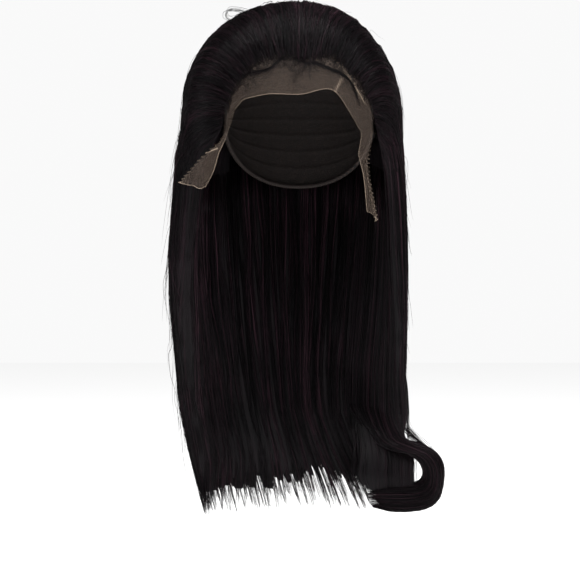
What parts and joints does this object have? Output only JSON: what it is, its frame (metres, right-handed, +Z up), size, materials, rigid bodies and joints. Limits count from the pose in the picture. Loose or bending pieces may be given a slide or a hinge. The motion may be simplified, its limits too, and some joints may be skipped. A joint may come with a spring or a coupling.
{
  "type": "lace front wig",
  "caption": "Long straight dark wig combed back from a transparent lace front, on a hollow cap, with one large end curl.",
  "frame": {"origin": "The inner top of the cap, where it sits on the crown of a head.", "axes": "+Z is up. The wig faces -Y. +X is the viewer's right, which is the wearer's left."},
  "size_m": [0.2734, 0.2031, 0.5124],
  "materials": {
    "cap_cloth": "matt stretch cloth",
    "lace": "fine transparent net",
    "hair": "straight glossy hair"
  },
  "bodies": {
    "root": {"cap": "cap_cloth", "lace_front": "lace", "hair_crown": "hair", "hair_left": "hair", "hair_back": "hair", "hair_right": "hair", "end_curl": "hair"}
  },
  "joints": []
}
